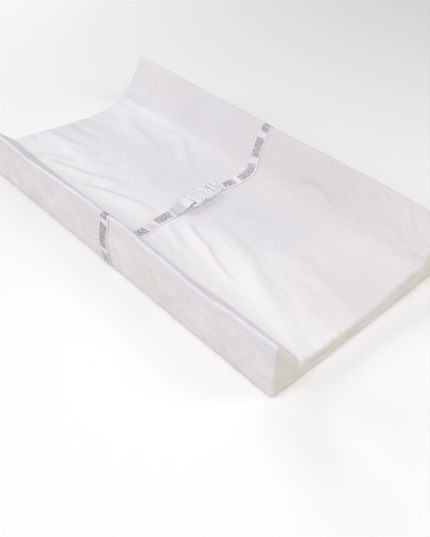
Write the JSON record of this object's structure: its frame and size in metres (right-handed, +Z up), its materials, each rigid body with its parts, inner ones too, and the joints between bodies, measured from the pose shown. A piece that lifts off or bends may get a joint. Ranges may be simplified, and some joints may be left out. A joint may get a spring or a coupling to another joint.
{
  "type": "changing pad",
  "caption": "Long contoured changing pad with two raised sides, a wipe-clean sewn cover, a webbing safety belt with a side-release buckle, and fold-out anchor tabs.",
  "frame": {"origin": "middle of the underside, on the surface that the pad rests on", "axes": "+X along the pad's length, +Y across it towards the side whose belt half carries the buckle's plug, +Z up"},
  "size_m": [0.813, 0.41, 0.1035],
  "materials": {
    "foam": "open-cell polyurethane foam, matt",
    "cover": "smooth white vinyl-coated fabric with a soft satin sheen",
    "underside": "non-slip fabric with fine raised dots, matt",
    "webbing": "white woven polyester webbing with plain selvedges and a grey woven block pattern",
    "thread": "white polyester thread",
    "buckle": "white acetal moulding, slightly milky, soft gloss",
    "tab_webbing": "white woven webbing, matt",
    "eyelet": "nickel-plated brass, satin"
  },
  "bodies": {
    "pad": {"foam_base": "foam", "foam_bolster_near": "foam", "foam_bolster_far": "foam", "cover_top_panel": "cover", "cover_end_left": "cover", "cover_end_right": "cover", "cover_bottom": "underside", "strap_near": "webbing", "strap_far": "webbing", "strap_stitching_near": "thread", "strap_stitching_far": "thread", "strap_loop_stitching": "thread", "buckle_socket": "buckle"},
    "plug": {"buckle_plug": "buckle", "strap_far_loop": "webbing"},
    "plug_left_arm": {"plug_arm_left": "buckle"},
    "plug_right_arm": {"plug_arm_right": "buckle"},
    "anchor_left": {"anchor_tab_left": "tab_webbing", "anchor_eyelet_left": "eyelet", "anchor_washer_left": "eyelet"},
    "anchor_right": {"anchor_tab_right": "tab_webbing", "anchor_eyelet_right": "eyelet", "anchor_washer_right": "eyelet"}
  },
  "joints": [
    {"name": "plug_slide", "type": "slide", "parent": "pad", "child": "plug", "axis": [-0.0785, 0.9969, 0], "range_m": [0, 0.03]},
    {"name": "left_arm_squeeze", "type": "hinge", "parent": "plug", "child": "plug_left_arm", "pos_m": [-0.0095, 0.01913, 0.0356], "axis": [0, 0, 1], "range_deg": [0, 7], "stiffness_Nm_per_rad": 0.05},
    {"name": "right_arm_squeeze", "type": "hinge", "parent": "plug", "child": "plug_right_arm", "pos_m": [0.01243, 0.02086, 0.0356], "axis": [0, 0, -1], "range_deg": [0, 7], "stiffness_Nm_per_rad": 0.05},
    {"name": "left_tab_fold", "type": "hinge", "parent": "pad", "child": "anchor_left", "pos_m": [-0.4065, 0, 0.0016], "axis": [0, 1, 0], "range_deg": [0, 180]},
    {"name": "right_tab_fold", "type": "hinge", "parent": "pad", "child": "anchor_right", "pos_m": [0.4065, 0, 0.0016], "axis": [0, -1, 0], "range_deg": [0, 180]}
  ]
}
